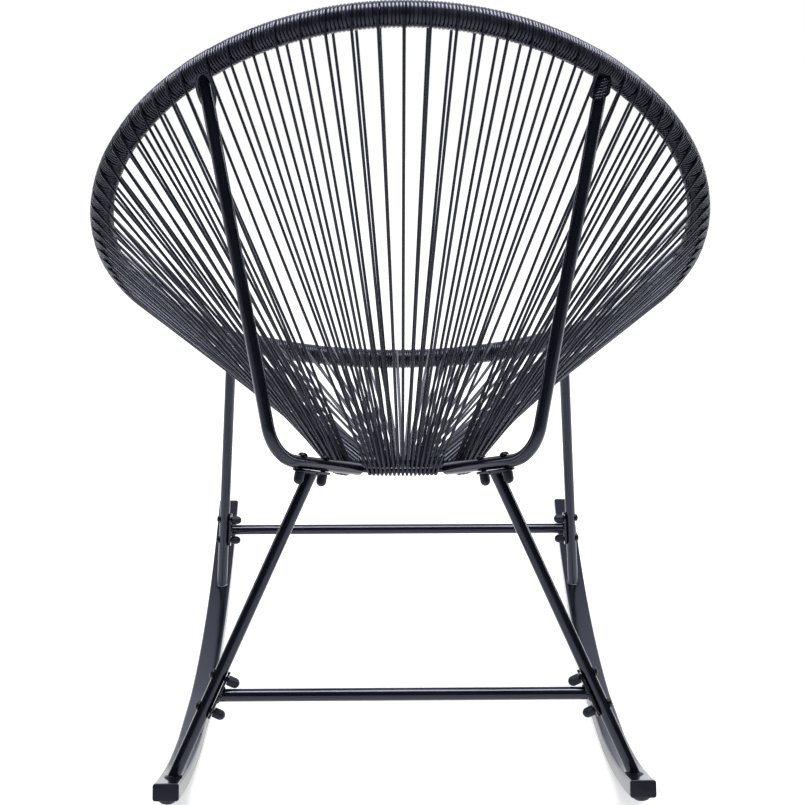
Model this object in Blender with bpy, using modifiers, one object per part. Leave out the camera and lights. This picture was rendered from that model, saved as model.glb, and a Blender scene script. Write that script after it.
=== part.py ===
"""A string rocking chair: a string-wound hoop and string spokes on a tube frame with curved runners.

Metres, +Z up. The chair faces -Y, its left side is +X, and the origin is under the middle of its
bounding box, on the floor. Tubes are drawn solid. Run it in Blender 4.5.
"""
import math

import bmesh
import bpy
import numpy as np
from mathutils import Matrix, Vector

# Clearance between pieces that touch or are welded, and the merge distance for curve caps
GAP = 0.0003
WELD_DISTANCE = 1e-6

# Tubes, rod and string
TUBE = 0.015
HOOP_TUBE = 0.022
RING_ROD = 0.008
STRING = 0.0033

# Hoop: an oval on a plane that falls to the front, with its sides dipping below the plane
HOOP_WIDTH = 0.750
HOOP_LENGTH = 0.7935
HOOP_SLOPE = math.radians(38.5)
HOOP_SQUARENESS = 0.10
HOOP_DIP = 0.044
HOOP_DIP_TO_BACK = 0.6
HOOP_BACK_Y = 0.330
HOOP_BACK_Z = 0.917
HOOP_STEPS = 72

# Ring under the seat, its back a little higher than its front
RING_WIDTH = 0.134
RING_LENGTH = 0.104
RING_TILT = math.radians(8.5)
RING_Y = 0.198
RING_Z = 0.3835
RING_STEPS = 40

# Back tubes: from the hoop's shoulder down to a bend, then in to the ring
SHOULDER_ANGLE = math.radians(33.5)
BEND_CORNER = Vector((0.147, 0.343, 0.431))
BEND_RADIUS = 0.050
BEND_STEPS = 8
RING_ARM_ANGLE = math.radians(51)

# Runners: an arc of rectangular tube with a short flat land to stand on
RUNNER_WIDTH = 0.030
RUNNER_HEIGHT = 0.020
RUNNER_WALL = 0.0015
RUNNER_CORNER = 0.003
RUNNER_RADIUS = 0.930
RUNNER_SPACING = 0.545
REAR_SWEEP = math.radians(18.25)
FRONT_SWEEP = math.radians(33.25)
LAND_SWEEP = math.radians(4)
REAR_STEPS = 6
FRONT_STEPS = 12

# End plugs and the glides under the rear ends
PLUG_FLANGE = 0.003
PLUG_DEPTH = 0.009
PLUG_CLEARANCE = 0.0006
GLIDE_WIDTH = 0.020
GLIDE_HEIGHT = 0.0055
GLIDE_STEM = 0.005
GLIDE_STEM_LENGTH = 0.006
GLIDE_FROM_END = 0.013

# Legs: where their feet stand on the runners, and where the saddles sit
REAR_FOOT_SWEEP = math.radians(15.6)
FRONT_FOOT_SWEEP = math.radians(21.8)
FOOT_INSET = 0.003
FRONT_LEG_ANGLE = math.radians(142.7)
SADDLE_FROM_BEND = 0.068

# Flat plates and their bolts
PLATE_THICKNESS = 0.003
PLATE_WIDTH = 0.018
SADDLE_LENGTH = 0.058
SADDLE_BOLTS = 0.040
REAR_BAR_HEIGHT = 0.150
REAR_PLATE_LENGTH = 0.060
REAR_PLATE_BOLTS = 0.041
FRONT_BAR_HEIGHT = 0.172
FRONT_PLATE_LENGTH = 0.051
FRONT_PLATE_BOLTS = 0.032
PLATE_END_STEPS = 5
BOLT_SHANK = 0.006
BOLT_HEAD = 0.0115
BOLT_HEAD_HEIGHT = 0.0035
NUT_WIDTH = 0.012
NUT_HEIGHT = 0.0145
NUT_BORE_DEPTH = 0.009
BOLT_GRIP = 0.0075
TURNED_STEPS = 8

# String work: loops over the ring in each section, the grooves where they cross the winding
BACK_LOOPS = 12
SIDE_LOOPS = 13
FRONT_LOOPS = 10
RING_PITCH = 0.0056
WRAP_POINTS = 5
GROOVE_WALL = 0.0009
GROOVE_FLANK = 0.0002
STRING_FROM_TUBE = 0.018
STRING_FROM_SADDLE = 0.010
ARM_CLEARANCE = 0.009
WINDING_END_GAP = 0.0005

# Sizes that follow from those above
TUBE_RADIUS = TUBE / 2
HOOP_RADIUS = HOOP_TUBE / 2
WINDING_RADIUS = HOOP_RADIUS + GAP + STRING
EIGHT_SIDED = 1 / math.cos(math.pi / 8)
HOOP_ROOM = (HOOP_RADIUS + GAP) * EIGHT_SIDED
GROOVE_RADIUS = HOOP_ROOM + GROOVE_WALL
WRAP_CHORD = 1 / math.cos(math.pi / (2 * (WRAP_POINTS - 1)))
RING_WRAP = (RING_ROD / 2 + GAP + STRING / 2) * WRAP_CHORD
HOOP_WRAP = (GROOVE_RADIUS + GROOVE_FLANK + GAP + STRING / 2) * WRAP_CHORD
RUNNER_OUTER = RUNNER_RADIUS + RUNNER_HEIGHT / 2
RUNNER_INNER = RUNNER_RADIUS - RUNNER_HEIGHT / 2
RUNNER_CENTRE_Z = RUNNER_OUTER * math.cos(LAND_SWEEP)


def reach(sweep):
    """How far a plugged runner end lies from the middle of the arc, along Y."""
    return RUNNER_OUTER * math.sin(sweep) + PLUG_FLANGE * math.cos(sweep)


RUNNER_CENTRE_Y = (reach(FRONT_SWEEP) - reach(REAR_SWEEP)) / 2

for old in list(bpy.data.objects):
    bpy.data.objects.remove(old)

chair = bpy.data.collections.new("string_rocking_chair")
cutters = bpy.data.collections.new("cutters")
bpy.context.scene.collection.children.link(chair)
bpy.context.scene.collection.children.link(cutters)


def finish(name, colour, roughness, metallic):
    material = bpy.data.materials.new(name)
    material.use_nodes = True
    shader = material.node_tree.nodes["Principled BSDF"]
    shader.inputs["Base Color"].default_value = (*colour, 1)
    shader.inputs["Roughness"].default_value = roughness
    shader.inputs["Metallic"].default_value = metallic
    return material


COATED_STEEL = finish("black_powder_coat", (0.012, 0.013, 0.017), 0.35, 0.0)
STRING_PLASTIC = finish("black_string_plastic", (0.018, 0.018, 0.02), 0.45, 0.0)
MOULDED_PLASTIC = finish("black_moulded_plastic", (0.015, 0.015, 0.016), 0.6, 0.0)
FASTENER_STEEL = finish("black_fastener_steel", (0.02, 0.02, 0.022), 0.4, 0.6)


# Curves that pieces follow

def hoop_point(angle):
    """A point of the hoop's centre line; 0 is the middle of the back, and angles grow to the left."""
    run = HOOP_LENGTH / 2 * (1 - math.cos(angle))
    dip = HOOP_DIP * math.sin(angle) ** 2 * (1 + HOOP_DIP_TO_BACK * math.cos(angle))
    side = HOOP_WIDTH / 2 * math.sin(angle) * (1 + HOOP_SQUARENESS * math.cos(angle) ** 2)
    forward = run * math.cos(HOOP_SLOPE) - dip * math.sin(HOOP_SLOPE)
    down = run * math.sin(HOOP_SLOPE) + dip * math.cos(HOOP_SLOPE)
    return Vector((side, HOOP_BACK_Y - forward, HOOP_BACK_Z - down))


def ring_frame(angle):
    """The ring's centre line at an angle from its back, with its outward and upward directions."""
    along = Vector((0, math.cos(RING_TILT), math.sin(RING_TILT)))
    up = Vector((0, -math.sin(RING_TILT), math.cos(RING_TILT)))
    half_width = RING_WIDTH / 2
    half_length = RING_LENGTH / 2
    centre = Vector((0, RING_Y, RING_Z))
    point = centre + Vector((half_width * math.sin(angle), 0, 0)) + along * half_length * math.cos(angle)
    outward = Vector((math.sin(angle) / half_width, 0, 0)) + along * math.cos(angle) / half_length
    return point, outward.normalized(), up


def ring_point(angle):
    return ring_frame(angle)[0]


def ring_inside(angle):
    """The inner side of the strings that pass round the ring, where they lie closest together."""
    point, outward, up = ring_frame(angle)
    return point - outward * RING_WRAP


def tangent(curve, angle):
    step = 1e-4
    return (curve(angle + step) - curve(angle - step)).normalized()


def length_table(curve, start, end, samples=600):
    angles = np.linspace(start, end, samples)
    points = np.array([curve(angle) for angle in angles])
    steps = np.linalg.norm(np.diff(points, axis=0), axis=1)
    return angles, np.concatenate([[0.0], np.cumsum(steps)])


def evenly(curve, start, end, count):
    """Angles at even lengths along a curve, with both ends."""
    angles, lengths = length_table(curve, start, end)
    return [float(a) for a in np.interp(np.linspace(0, lengths[-1], count), lengths, angles)]


def moved_along(curve, angle, length):
    """The angle that lies a given length further along a curve."""
    sign = 1 if length >= 0 else -1
    angles, lengths = length_table(curve, angle, angle + sign)
    return float(np.interp(abs(length), lengths, angles))


def runner_point(side, sweep, radius):
    """A point in a runner's middle plane; sweeps are positive to the front."""
    y = RUNNER_CENTRE_Y - radius * math.sin(sweep)
    z = RUNNER_CENTRE_Z - radius * math.cos(sweep)
    return Vector((side * RUNNER_SPACING / 2, y, z))


# Ways of making pieces

def add(name, data, material=None):
    piece = bpy.data.objects.new(name, data)
    chair.objects.link(piece)
    if material:
        data.materials.append(material)
    return piece


def tube_curve(name, points, radius, resolution, closed=False, radii=None):
    """A round bar along a line of points; radii scale it point by point."""
    curve = bpy.data.curves.new(name, "CURVE")
    curve.dimensions = "3D"
    curve.bevel_depth = radius
    curve.bevel_resolution = resolution
    curve.use_fill_caps = True
    curve.twist_mode = "Z_UP" if closed or radii else "MINIMUM"
    spline = curve.splines.new("POLY")
    spline.points.add(len(points) - 1)
    spline.use_cyclic_u = closed
    for index, point in enumerate(points):
        spline.points[index].co = (*point, 1)
        if radii:
            spline.points[index].radius = radii[index]
    return curve


def meshed(piece):
    """The same piece as a mesh with its caps welded, ready to be cut or joined."""
    name = piece.name
    data = piece.data
    graph = bpy.context.evaluated_depsgraph_get()
    mesh = bpy.data.meshes.new_from_object(piece.evaluated_get(graph))
    shape = bmesh.new()
    shape.from_mesh(mesh)
    bmesh.ops.remove_doubles(shape, verts=shape.verts, dist=WELD_DISTANCE)
    bmesh.ops.recalc_face_normals(shape, faces=shape.faces)
    shape.to_mesh(mesh)
    shape.free()
    place = piece.matrix_world.copy()
    collection = piece.users_collection[0]
    bpy.data.objects.remove(piece)
    bpy.data.curves.remove(data)
    made = bpy.data.objects.new(name, mesh)
    made.matrix_world = place
    collection.objects.link(made)
    return made


def tube(name, points, radius, resolution, material, closed=False, radii=None):
    piece = add(name, tube_curve(name, points, radius, resolution, closed, radii), material)
    return meshed(piece)


def as_cutter(piece):
    for collection in list(piece.users_collection):
        collection.objects.unlink(piece)
    cutters.objects.link(piece)
    piece.hide_render = True
    piece.display_type = "WIRE"
    return piece


def placed(origin, z_axis, x_axis):
    """A frame at origin whose Z is z_axis and whose X lies towards x_axis."""
    z = z_axis.normalized()
    x = (x_axis - z * x_axis.dot(z)).normalized()
    y = z.cross(x)
    return Matrix.Translation(origin) @ Matrix((x, y, z)).transposed().to_4x4()


def hole(name, origin, axis, diameter, length):
    """A round cutter centred at origin."""
    shape = bmesh.new()
    bmesh.ops.create_cone(
        shape, cap_ends=True, segments=TURNED_STEPS, radius1=diameter / 2, radius2=diameter / 2, depth=length
    )
    mesh = bpy.data.meshes.new(name)
    shape.to_mesh(mesh)
    shape.free()
    piece = add(name, mesh)
    piece.matrix_world = placed(origin, axis, axis.orthogonal())
    return as_cutter(piece)


def combine(piece, other, operation):
    boolean = piece.modifiers.new(other.name, "BOOLEAN")
    boolean.operation = operation
    boolean.object = other


def cut(piece, other):
    combine(piece, other, "DIFFERENCE")


def weld_on(piece, other):
    combine(piece, as_cutter(other), "UNION")


def trimmed(piece, point, normal):
    """A mesh cut off flat at a plane, keeping the side away from the normal."""
    shape = bmesh.new()
    shape.from_mesh(piece.data)
    everything = shape.verts[:] + shape.edges[:] + shape.faces[:]
    bmesh.ops.bisect_plane(shape, geom=everything, plane_co=point, plane_no=normal, clear_outer=True)
    rim = [edge for edge in shape.edges if edge.is_boundary]
    bmesh.ops.edgeloop_fill(shape, edges=rim)
    bmesh.ops.recalc_face_normals(shape, faces=shape.faces)
    shape.to_mesh(piece.data)
    shape.free()


def plate(name, length, origin, normal, along):
    """A flat plate with round ends, its middle at origin."""
    half = length / 2 - PLATE_WIDTH / 2
    outline = []
    for end in (1, -1):
        for step in range(PLATE_END_STEPS + 1):
            turn = math.pi * step / PLATE_END_STEPS - math.pi / 2
            x = end * (half + PLATE_WIDTH / 2 * math.cos(turn))
            y = end * PLATE_WIDTH / 2 * math.sin(turn)
            outline.append((x, y, 0))
    curve = bpy.data.curves.new(name, "CURVE")
    curve.dimensions = "2D"
    curve.fill_mode = "BOTH"
    curve.extrude = PLATE_THICKNESS / 2
    spline = curve.splines.new("POLY")
    spline.points.add(len(outline) - 1)
    spline.use_cyclic_u = True
    for index, point in enumerate(outline):
        spline.points[index].co = (*point, 1)
    piece = add(name, curve)
    piece.matrix_world = placed(origin, normal, along)
    bpy.context.view_layer.update()
    return meshed(piece)


def turned_profile(name, outline, material):
    """A half outline in X and Z, from the axis at the top, down the outside, to the axis again."""
    mesh = bpy.data.meshes.new(name)
    shape = bmesh.new()
    points = [shape.verts.new((x, 0, z)) for x, z in outline]
    for first, second in zip(points, points[1:]):
        shape.edges.new((first, second))
    shape.to_mesh(mesh)
    shape.free()
    mesh.materials.append(material)
    return mesh


def turned(name, profile, place):
    piece = bpy.data.objects.new(name, profile)
    chair.objects.link(piece)
    screw = piece.modifiers.new("turned", "SCREW")
    screw.steps = TURNED_STEPS
    screw.render_steps = TURNED_STEPS
    screw.use_merge_vertices = True
    screw.merge_threshold = 1e-5
    screw.use_smooth_shade = True
    piece.matrix_world = place
    return piece


# Hoop, ring and the cutters that follow them

hoop_line = [hoop_point(angle) for angle in evenly(hoop_point, 0, 2 * math.pi, HOOP_STEPS + 1)[:-1]]
ring_line = [ring_point(angle) for angle in evenly(ring_point, 0, 2 * math.pi, RING_STEPS + 1)[:-1]]
hoop = tube("hoop_tube", hoop_line, HOOP_RADIUS, 3, COATED_STEEL, closed=True)
ring = tube("seat_ring", ring_line, RING_ROD / 2, 2, COATED_STEEL, closed=True)

hoop_room = as_cutter(tube("hoop_room", hoop_line, HOOP_ROOM, 2, None, closed=True))
ring_room = as_cutter(tube("ring_room", ring_line, (RING_ROD / 2 + GAP) * EIGHT_SIDED, 2, None, closed=True))


# Fasteners

def bolt_profile(name, tube_width):
    grip = tube_width + PLATE_THICKNESS + 3 * GAP + BOLT_GRIP
    head = BOLT_HEAD / 2
    shank = BOLT_SHANK / 2
    outline = [
        (0, grip), (shank, grip), (shank, 0), (head, 0), (head, -BOLT_HEAD_HEIGHT * 0.4),
        (head * 0.7, -BOLT_HEAD_HEIGHT * 0.9), (0, -BOLT_HEAD_HEIGHT),
    ]
    return turned_profile(name, outline, FASTENER_STEEL)


def nut_profile(name):
    wide = NUT_WIDTH / 2
    bore = BOLT_SHANK / 2 + GAP
    straight = NUT_HEIGHT - wide
    outline = [(0, NUT_HEIGHT)]
    for step in range(1, 4):
        turn = math.radians(30 * step)
        outline.append((wide * math.sin(turn), straight + wide * math.cos(turn)))
    outline += [(wide, 0), (bore, 0), (bore, NUT_BORE_DEPTH), (0, NUT_BORE_DEPTH)]
    return turned_profile(name, outline, MOULDED_PLASTIC)


tube_bolt = bolt_profile("tube_bolt", TUBE)
hoop_bolt = bolt_profile("hoop_bolt", HOOP_TUBE)
cap_nut = nut_profile("cap_nut")


def bolted(name, axis_point, direction, along, tube_width, profile, drilled):
    """A bolt through a tube and the plate on its far side, with its nut; drills what it passes."""
    seat = tube_width / 2 + GAP
    plate_face = seat + PLATE_THICKNESS + GAP
    turned("bolt_" + name, profile, placed(axis_point - direction * seat, direction, along))
    turned("cap_nut_" + name, cap_nut, placed(axis_point + direction * plate_face, direction, along))
    reach_through = 4 * (tube_width + PLATE_THICKNESS)
    drill = hole("drill_" + name, axis_point, direction, BOLT_SHANK + 2 * GAP, reach_through)
    for piece in drilled:
        cut(piece, drill)


# Runners with their plugs and glides

def rounded_rectangle(width, height, corner):
    half_w = width / 2
    half_h = height / 2
    return [
        (half_w - corner, -half_h), (half_w, corner - half_h), (half_w, half_h - corner),
        (half_w - corner, half_h), (corner - half_w, half_h), (-half_w, half_h - corner),
        (-half_w, corner - half_h), (corner - half_w, -half_h),
    ]


def spun_bar(name, side, outline, over):
    """A solid bar of one outline along a runner's arc, flat where it stands; over lengthens its ends."""
    shape = bmesh.new()
    corners = []
    for across, upwards in outline:
        place = runner_point(side, -REAR_SWEEP - over, RUNNER_RADIUS - upwards) + Vector((across, 0, 0))
        corners.append(shape.verts.new(place))
    first = [shape.edges.new(pair) for pair in zip(corners, corners[1:] + corners[:1])]
    last = first
    pivot = Vector((0, RUNNER_CENTRE_Y, RUNNER_CENTRE_Z))
    spans = (
        (REAR_SWEEP - LAND_SWEEP + over, REAR_STEPS),
        (2 * LAND_SWEEP, 1),
        (FRONT_SWEEP - LAND_SWEEP + over, FRONT_STEPS),
    )
    for sweep, steps in spans:
        spun = bmesh.ops.spin(
            shape, geom=[*corners, *last], cent=pivot, axis=Vector((1, 0, 0)), angle=-sweep, steps=steps
        )
        last = [item for item in spun["geom_last"] if isinstance(item, bmesh.types.BMEdge)]
        corners = [item for item in spun["geom_last"] if isinstance(item, bmesh.types.BMVert)]
    bmesh.ops.edgeloop_fill(shape, edges=first)
    bmesh.ops.edgeloop_fill(shape, edges=last)
    bmesh.ops.recalc_face_normals(shape, faces=shape.faces)
    mesh = bpy.data.meshes.new(name)
    shape.to_mesh(mesh)
    shape.free()
    return mesh


def runner(name, side):
    """A rectangular tube along the arc, bored through from end to end."""
    wall = 2 * RUNNER_WALL
    outer = rounded_rectangle(RUNNER_WIDTH, RUNNER_HEIGHT, RUNNER_CORNER)
    inner = rounded_rectangle(RUNNER_WIDTH - wall, RUNNER_HEIGHT - wall, RUNNER_CORNER - RUNNER_WALL)
    piece = add(name, spun_bar(name, side, outer, 0), COATED_STEEL)
    bore = add(name + "_bore", spun_bar(name + "_bore", side, inner, RUNNER_WALL / RUNNER_RADIUS))
    cut(piece, as_cutter(bore))
    return piece


def end_plug(name, side, sweep, front):
    """A flange on the runner's end and a body that pushes into the tube."""
    end = runner_point(side, sweep, RUNNER_RADIUS)
    outward = front * tangent(lambda turn: runner_point(side, turn, RUNNER_RADIUS), sweep)
    flange = PLUG_FLANGE - GAP
    shape = bmesh.new()
    bmesh.ops.create_cube(shape, size=1)
    bmesh.ops.scale(shape, vec=(RUNNER_WIDTH, RUNNER_HEIGHT, flange), verts=shape.verts)
    bmesh.ops.translate(shape, vec=(0, 0, GAP + flange / 2), verts=shape.verts)
    corners = [edge for edge in shape.edges if abs(edge.verts[0].co.z - edge.verts[1].co.z) > flange / 2]
    bmesh.ops.bevel(
        shape, geom=corners, offset=RUNNER_CORNER, segments=1, profile=0.5, affect="EDGES", material=-1
    )
    back = min(shape.faces, key=lambda face: face.calc_center_median().z)
    bmesh.ops.inset_individual(shape, faces=[back], thickness=RUNNER_WALL + PLUG_CLEARANCE)
    pushed = bmesh.ops.extrude_face_region(shape, geom=[back])
    tip = [item for item in pushed["geom"] if isinstance(item, bmesh.types.BMVert)]
    bmesh.ops.translate(shape, vec=(0, 0, -PLUG_DEPTH), verts=tip)
    bmesh.ops.delete(shape, geom=[face for face in shape.faces if face is back], context="FACES_ONLY")
    bmesh.ops.recalc_face_normals(shape, faces=shape.faces)
    mesh = bpy.data.meshes.new(name)
    shape.to_mesh(mesh)
    shape.free()
    piece = add(name, mesh, MOULDED_PLASTIC)
    piece.matrix_world = placed(end, outward, Vector((1, 0, 0)))
    return piece


def glide_profile(name):
    wide = GLIDE_WIDTH / 2
    stem = GLIDE_STEM / 2
    outline = [
        (0, GLIDE_STEM_LENGTH), (stem, GLIDE_STEM_LENGTH), (stem, 0), (wide, 0),
        (wide * 0.85, -GLIDE_HEIGHT * 0.6), (wide * 0.5, -GLIDE_HEIGHT * 0.93), (0, -GLIDE_HEIGHT),
    ]
    return turned_profile(name, outline, MOULDED_PLASTIC)


glide_shape = glide_profile("glide")


def down_from(direction):
    """Straight down, made square to a direction."""
    down = Vector((0, 0, -1))
    return (down - direction * down.dot(direction)).normalized()


def bent(start, corner, end, radius, steps):
    """A line from start to end with a round bend at the corner."""
    back = (start - corner).normalized()
    ahead = (end - corner).normalized()
    half_turn = (math.pi - back.angle(ahead)) / 2
    middle = corner + (back + ahead).normalized() * radius / math.cos(half_turn)
    first = corner + back * radius * math.tan(half_turn) - middle
    axis = back.cross(ahead).normalized()
    points = [start]
    for step in range(steps + 1):
        turn = Matrix.Rotation(-2 * half_turn * step / steps, 3, axis)
        points.append(middle + turn @ first)
    return points + [end]


def leg(name, foot_sweep, side, top, top_normal):
    """A tube from a runner's top face to the middle of its saddle plate; also gives its foot."""
    facet = math.cos((FRONT_SWEEP - LAND_SWEEP) / FRONT_STEPS / 2)
    foot = runner_point(side, foot_sweep, RUNNER_INNER * facet - GAP)
    floorward = (runner_point(side, foot_sweep, RUNNER_OUTER) - foot).normalized()
    foot.x -= side * FOOT_INSET
    along = (top - foot).normalized()
    piece = tube(name, [foot - along * TUBE, top + along * TUBE], TUBE_RADIUS, 4, COATED_STEEL)
    trimmed(piece, foot, floorward)
    trimmed(piece, top, -top_normal)
    return piece, foot, along


def bar_end(foot, along, height, side):
    """Where a crossbar's plate meets a leg: the leg's axis there, the way inwards and the plate's middle."""
    axis_point = foot + along * ((height - foot.z) / along.z)
    inward = Vector((-side, 0, 0))
    inward = (inward - along * inward.dot(along)).normalized()
    middle = axis_point + inward * (TUBE_RADIUS + GAP + PLATE_THICKNESS / 2)
    return axis_point, inward, middle


rear_legs = {}
front_legs = {}
shoulders = {}
for side, label in ((1, "left"), (-1, "right")):
    beam = runner("runner_" + label, side)
    end_plug("plug_rear_" + label, side, -REAR_SWEEP, -1)
    end_plug("plug_front_" + label, side, FRONT_SWEEP, 1)
    glide_sweep = -REAR_SWEEP + GLIDE_FROM_END / RUNNER_OUTER
    under = runner_point(side, glide_sweep, RUNNER_OUTER + GAP)
    upward = (runner_point(side, glide_sweep, RUNNER_INNER) - under).normalized()
    turned("glide_" + label, glide_shape, placed(under, upward, Vector((1, 0, 0))))
    cut(beam, hole("glide_hole_" + label, under, upward, GLIDE_STEM + 2 * GAP, 2 * GLIDE_STEM_LENGTH))

    shoulder = hoop_point(side * SHOULDER_ANGLE)
    corner = Vector((side * BEND_CORNER.x, BEND_CORNER.y, BEND_CORNER.z))
    arm_end = ring_point(side * RING_ARM_ANGLE)
    route = bent(shoulder, corner, arm_end, BEND_RADIUS, BEND_STEPS)
    back_tube = tube("back_tube_" + label, route, TUBE_RADIUS, 4, COATED_STEEL)
    cut(back_tube, hoop_room)
    cut(back_tube, ring_room)
    downward = (corner - shoulder).normalized()
    room = hole(
        "shoulder_room_" + label, shoulder + downward * HOOP_TUBE, downward, TUBE + 4 * GAP, 2 * HOOP_TUBE
    )
    shoulders[label] = room

    arm = (arm_end - corner).normalized()
    seat = corner + arm * SADDLE_FROM_BEND
    down = down_from(arm)
    middle = seat + down * (TUBE_RADIUS + GAP + PLATE_THICKNESS / 2)
    rear, foot, along = leg("rear_leg_" + label, -REAR_FOOT_SWEEP, side, middle, down)
    weld_on(rear, plate("rear_saddle_" + label, SADDLE_LENGTH, middle, down, arm))
    for offset, place in ((-SADDLE_BOLTS / 2, "outer"), (SADDLE_BOLTS / 2, "inner")):
        point = seat + arm * offset
        bolted(f"rear_saddle_{label}_{place}", point, down, arm, TUBE, tube_bolt, (back_tube, rear))
    rear_legs[side] = (rear, foot, along, label)

    rim = hoop_point(side * FRONT_LEG_ANGLE)
    along_rim = side * tangent(hoop_point, side * FRONT_LEG_ANGLE)
    down = down_from(along_rim)
    middle = rim + down * (HOOP_RADIUS + GAP + PLATE_THICKNESS / 2)
    front, foot, along = leg("front_leg_" + label, FRONT_FOOT_SWEEP, side, middle, down)
    weld_on(front, plate("front_saddle_" + label, SADDLE_LENGTH, middle, down, along_rim))
    for offset, place in ((-SADDLE_BOLTS / 2, "rear"), (SADDLE_BOLTS / 2, "front")):
        point = rim + along_rim * offset
        bolted(f"front_saddle_{label}_{place}", point, down, along_rim, HOOP_TUBE, hoop_bolt, (hoop, front))
    front_legs[side] = (front, foot, along, label)


def crossbar(name, legs, height, plate_length, bolt_pitch):
    """A tube between two legs with a plate welded on each end, and the bolts that hold the plates."""
    ends = {side: bar_end(foot, along, height, side) for side, (piece, foot, along, label) in legs.items()}
    left = ends[1][2]
    right = ends[-1][2]
    over = Vector((TUBE, 0, 0))
    bar = tube("crossbar_" + name, [left + over, right - over], TUBE_RADIUS, 4, COATED_STEEL)
    for side, (piece, foot, along, label) in legs.items():
        axis_point, inward, middle = ends[side]
        trimmed(bar, middle, -inward)
        weld_on(bar, plate(f"{name}_plate_{label}", plate_length, middle, inward, along))
    for side, (piece, foot, along, label) in legs.items():
        axis_point, inward, middle = ends[side]
        for offset, place in ((bolt_pitch / 2, "upper"), (-bolt_pitch / 2, "lower")):
            point = axis_point + along * offset
            bolted(f"{name}_bar_{label}_{place}", point, inward, along, TUBE, tube_bolt, (piece, bar))
    return bar


crossbar("rear", rear_legs, REAR_BAR_HEIGHT, REAR_PLATE_LENGTH, REAR_PLATE_BOLTS)
crossbar("front", front_legs, FRONT_BAR_HEIGHT, FRONT_PLATE_LENGTH, FRONT_PLATE_BOLTS)


# String work: four sections between the tubes that meet the hoop

FULL = 2 * math.pi
saddle_half = SADDLE_LENGTH / 2 + 5 * GAP
by_shoulder = moved_along(hoop_point, SHOULDER_ANGLE, WINDING_END_GAP)
before_shoulder = moved_along(hoop_point, SHOULDER_ANGLE, -WINDING_END_GAP)
before_saddle = moved_along(hoop_point, FRONT_LEG_ANGLE, -saddle_half)
after_saddle = moved_along(hoop_point, FRONT_LEG_ANGLE, saddle_half)
after_tube = moved_along(hoop_point, SHOULDER_ANGLE, STRING_FROM_TUBE)
before_tube = moved_along(hoop_point, SHOULDER_ANGLE, -STRING_FROM_TUBE)
to_saddle = moved_along(hoop_point, before_saddle, -STRING_FROM_SADDLE)
from_saddle = moved_along(hoop_point, after_saddle, STRING_FROM_SADDLE)

ring_turns, ring_lengths = length_table(ring_inside, -math.pi, 3 * math.pi, 2400)
ring_zero = float(np.interp(0, ring_turns, ring_lengths))


def ring_length(angle):
    return float(np.interp(angle, ring_turns, ring_lengths)) - ring_zero


def ring_stations(middle, count):
    """Evenly spaced angles on the ring, around a length from the middle of its back."""
    wanted = [ring_zero + middle + (index - (count - 1) / 2) * RING_PITCH for index in range(count)]
    return [float(angle) for angle in np.interp(wanted, ring_lengths, ring_turns)]


def winding(name, start, end, crossings, rooms):
    """The turns round the hoop, swelling between the grooves where the spokes cross them."""
    stations = [(start, WINDING_RADIUS)]
    for before, after in zip(crossings, crossings[1:] + [None]):
        stations.append((before, GROOVE_RADIUS))
        if after is not None:
            stations.append(((before + after) / 2, WINDING_RADIUS))
    stations.append((end, WINDING_RADIUS))
    line = [hoop_point(angle) for angle, radius in stations]
    radii = [radius / WINDING_RADIUS for angle, radius in stations]
    piece = tube("rim_winding_" + name, line, WINDING_RADIUS, 2, STRING_PLASTIC, radii=radii)
    for room in rooms:
        cut(piece, room)
    cut(piece, hoop_room)


def half_turn(centre, outer, far, radius, first, last):
    """Points of a string round a tube, from its outer side at 0 over its far side at 1."""
    points = []
    for index in range(first, last + 1):
        turn = math.pi * index / (WRAP_POINTS - 1)
        points.append(centre + (outer * math.cos(turn) + far * math.sin(turn)) * radius)
    return points


def over_hoop(angle, towards, first, last):
    """A string's way over the hoop, from outside the seat to inside it."""
    centre = hoop_point(angle)
    along = tangent(hoop_point, angle)
    near = towards - centre
    near = (near - along * near.dot(along)).normalized()
    return half_turn(centre, along.cross(near), -near, HOOP_WRAP, first, last)


def under_ring(angle, towards):
    """A string's way under the ring, leaving both ways towards a place on the hoop."""
    point, outward, up = ring_frame(angle)
    away = (towards - point).normalized()
    lean = math.atan2(away.dot(outward), away.dot(up))
    outer = outward * math.cos(lean) - up * math.sin(lean)
    far = -outward * math.sin(lean) - up * math.cos(lean)
    return half_turn(point, outer, far, RING_WRAP, 0, WRAP_POINTS - 1)


def least_gap(points):
    """The least clear space between two lengths of one string that aren't next to each other."""
    samples = []
    walked = []
    travelled = 0.0
    for first, second in zip(points, points[1:]):
        length = (second - first).length
        count = max(1, math.ceil(length / 0.004))
        for index in range(count):
            samples.append(first.lerp(second, index / count))
            walked.append(travelled + length * index / count)
        travelled += length
    samples = np.array(samples)
    walked = np.array(walked)
    least = 1.0
    for place, point in zip(walked, samples):
        far = np.abs(walked - place) > 14 * STRING
        least = min(least, float(np.linalg.norm(samples[far] - point, axis=1).min()))
    return least - STRING


def spokes(name, crossings, stations):
    """One string: outside the seat down to the ring, under it, up inside and over the hoop again."""
    middle = (WRAP_POINTS - 1) // 2
    line = []
    for index, angle in enumerate(crossings):
        near = ring_point(stations[min(index, len(stations) - 1)])
        first = 0 if index < len(stations) else middle
        last = WRAP_POINTS - 1 if index > 0 else middle
        line += reversed(over_hoop(angle, near, first, last))
        if index < len(stations):
            between = (hoop_point(angle) + hoop_point(crossings[index + 1])) / 2
            line += under_ring(stations[index], between)
    curve = tube_curve("strings_" + name, line, STRING / 2, 1)
    add("strings_" + name, curve, STRING_PLASTIC)
    print(f"strings_{name}: {len(stations)} loops, least gap to itself {least_gap(line) * 1000:.2f} mm")


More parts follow.
